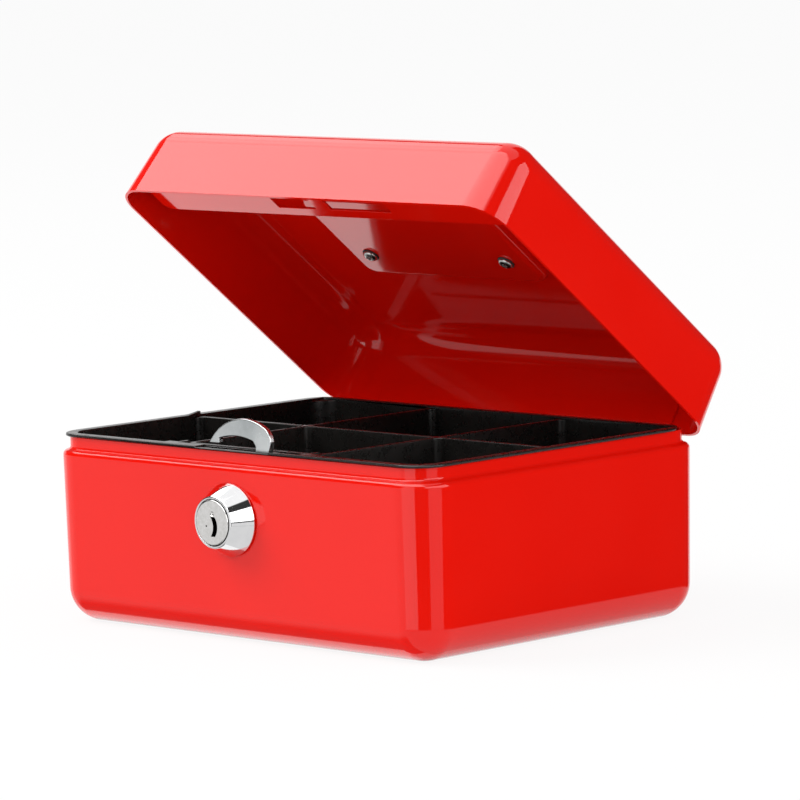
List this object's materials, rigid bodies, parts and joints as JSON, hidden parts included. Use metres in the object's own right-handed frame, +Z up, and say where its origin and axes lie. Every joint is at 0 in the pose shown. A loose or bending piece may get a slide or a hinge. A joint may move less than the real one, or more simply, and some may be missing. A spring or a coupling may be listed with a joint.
{
  "type": "cash box",
  "caption": "Small lockable sheet-steel cash box with a hinged lid, a lift-out coin tray, a hooked-bolt cam lock and a folding handle in the lid.",
  "frame": {"origin": "centre of the flat underside of the body", "axes": "+X to the right seen from the lock side, +Y towards the hinge at the rear, +Z up"},
  "size_m": [0.152, 0.1399, 0.1409],
  "materials": {
    "red_paint": "gloss enamel",
    "black_plastic": "fine satin",
    "chrome": "polished",
    "zinc_steel": "zinc plated",
    "bolt_steel": "satin nickel",
    "brass": "plain",
    "black_washer": "matt"
  },
  "bodies": {
    "body": {"body_shell": "red_paint", "tray": "black_plastic", "lock_barrel": "chrome", "lock_washer": "zinc_steel", "lock_nut": "zinc_steel", "hinge_body_leaf": "red_paint", "hinge_pin": "zinc_steel"},
    "lid": {"lid_shell": "red_paint", "lid_strike": "red_paint", "hinge_lid_leaf": "red_paint", "handle_post_left": "chrome", "handle_post_right": "chrome", "handle_screw_left": "zinc_steel", "handle_screw_right": "zinc_steel", "handle_washer_left": "black_washer", "handle_washer_right": "black_washer"},
    "handle": {"handle_bail": "chrome"},
    "lock": {"lock_plug": "chrome", "lock_wafers": "brass", "lock_bolt": "bolt_steel", "bolt_washer": "zinc_steel", "bolt_screw": "zinc_steel"}
  },
  "joints": [
    {"name": "lid_hinge", "type": "hinge", "parent": "body", "child": "lid", "pos_m": [0, 0.06098, 0.0465], "axis": [-1, 0, 0], "range_deg": [-38.6, 56.4]},
    {"name": "handle_fold", "type": "hinge", "parent": "lid", "child": "handle", "pos_m": [0, 0.03081, 0.10565], "axis": [-1, 0, 0], "range_deg": [0, 90]},
    {"name": "lock_turn", "type": "hinge", "parent": "body", "child": "lock", "pos_m": [0, -0.055, 0.0356], "axis": [0, 1, 0], "range_deg": [0, 90]}
  ]
}
